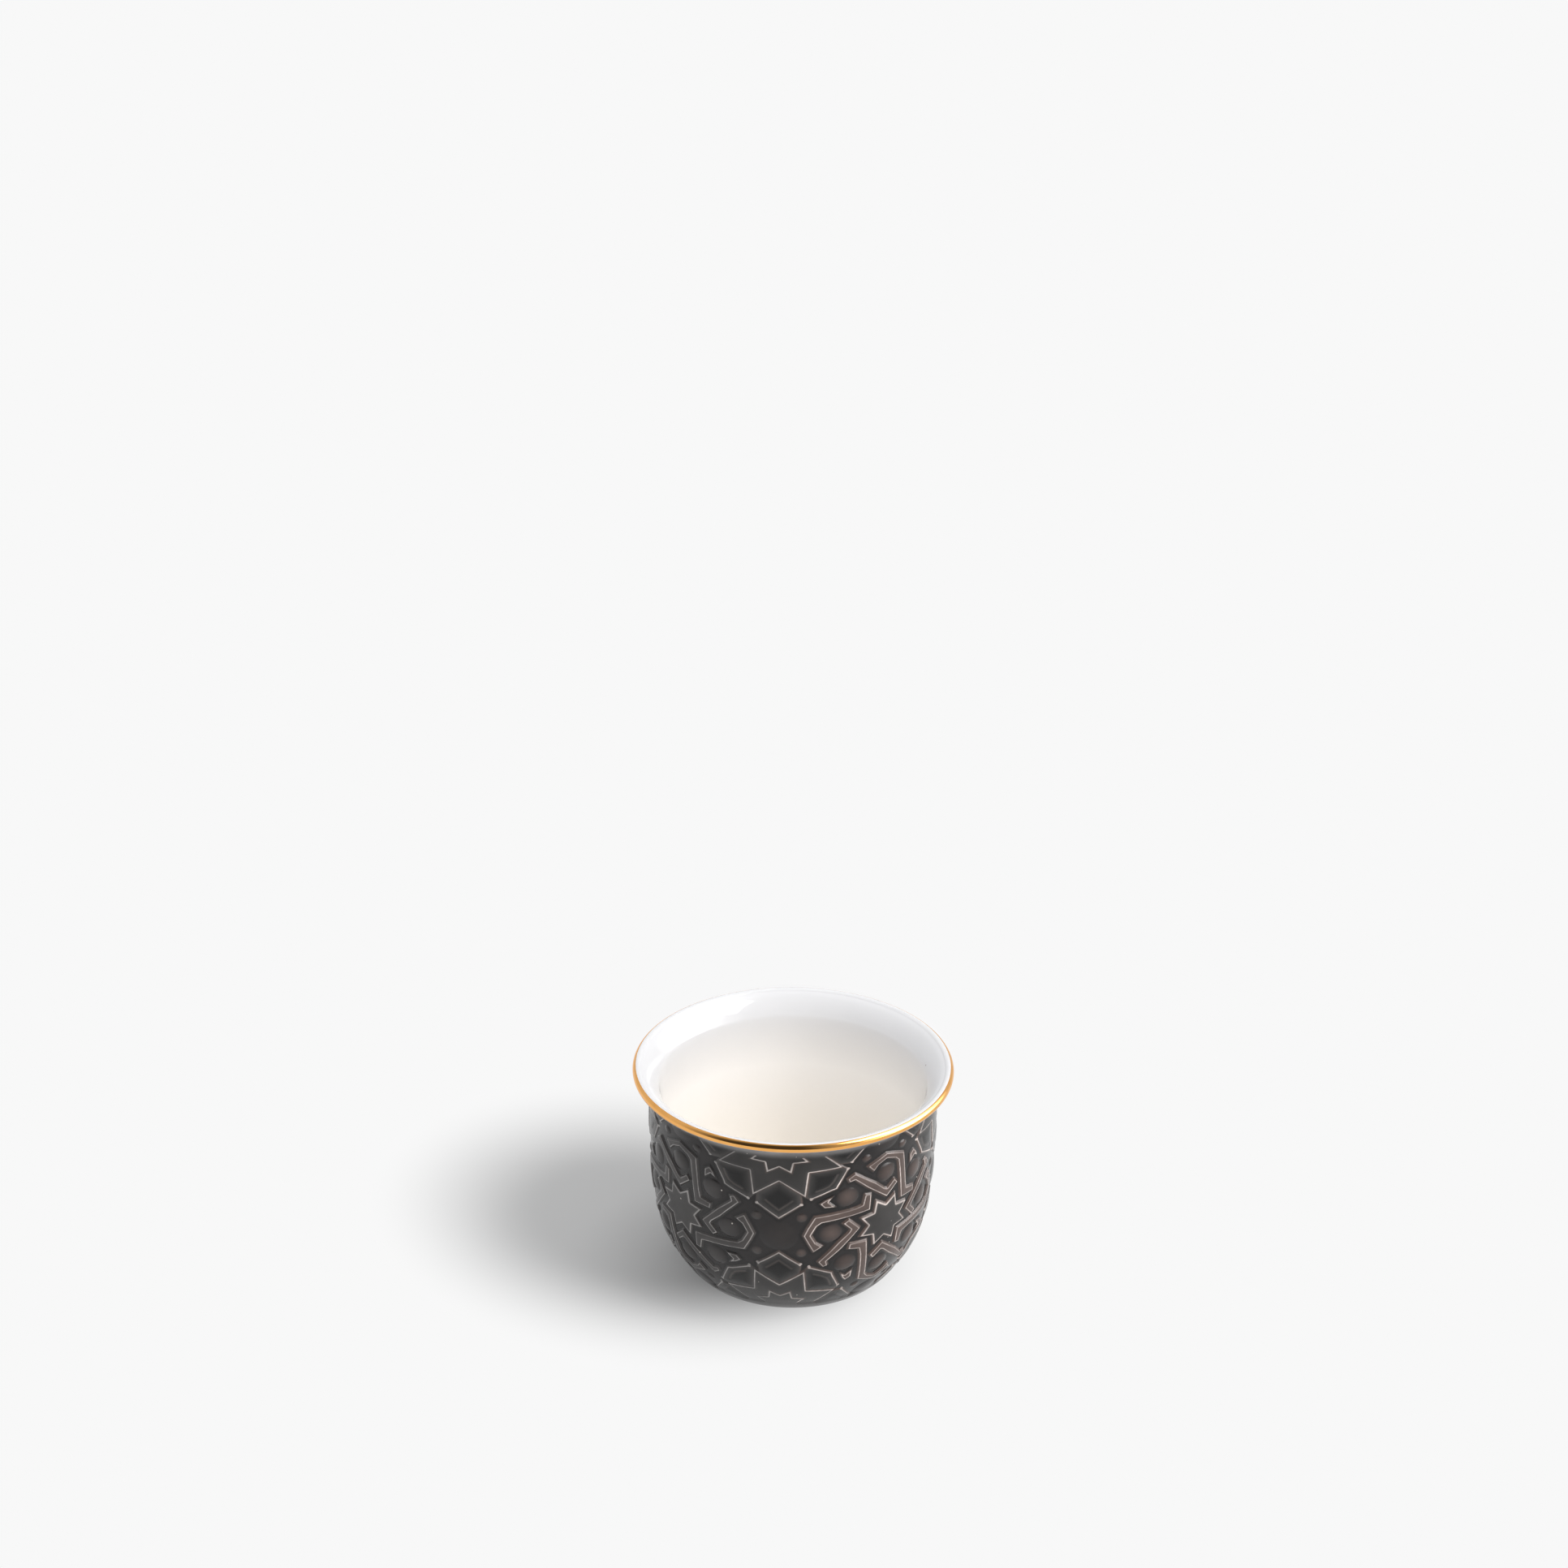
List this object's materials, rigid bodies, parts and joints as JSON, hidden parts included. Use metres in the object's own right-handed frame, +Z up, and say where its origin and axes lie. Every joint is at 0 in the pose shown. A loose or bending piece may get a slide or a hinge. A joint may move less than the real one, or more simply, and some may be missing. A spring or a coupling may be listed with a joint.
{
  "type": "arabic coffee cup",
  "caption": "Small handleless porcelain coffee cup on a foot ring, dark glazed over a star-and-strap relief, white inside, with a gilded rolled lip.",
  "frame": {"origin": "centre of the foot ring's underside", "axes": "+Z up the cup's axis, -Y towards the viewer in the picture, +X to the right"},
  "size_m": [0.064, 0.064, 0.0473],
  "materials": {
    "porcelain": "unglazed white porcelain, fine matt",
    "dark_glaze": "glossy translucent charcoal glaze, dark where it pools and light where it breaks over edges",
    "white_glaze": "glossy clear glaze on white porcelain",
    "gold": "bright fired gold on the lip"
  },
  "bodies": {
    "root": {"porcelain_body": "porcelain", "outer_glaze": "dark_glaze", "inner_glaze": "white_glaze", "gold_rim": "gold", "foot_well_glaze": "white_glaze"}
  },
  "joints": []
}
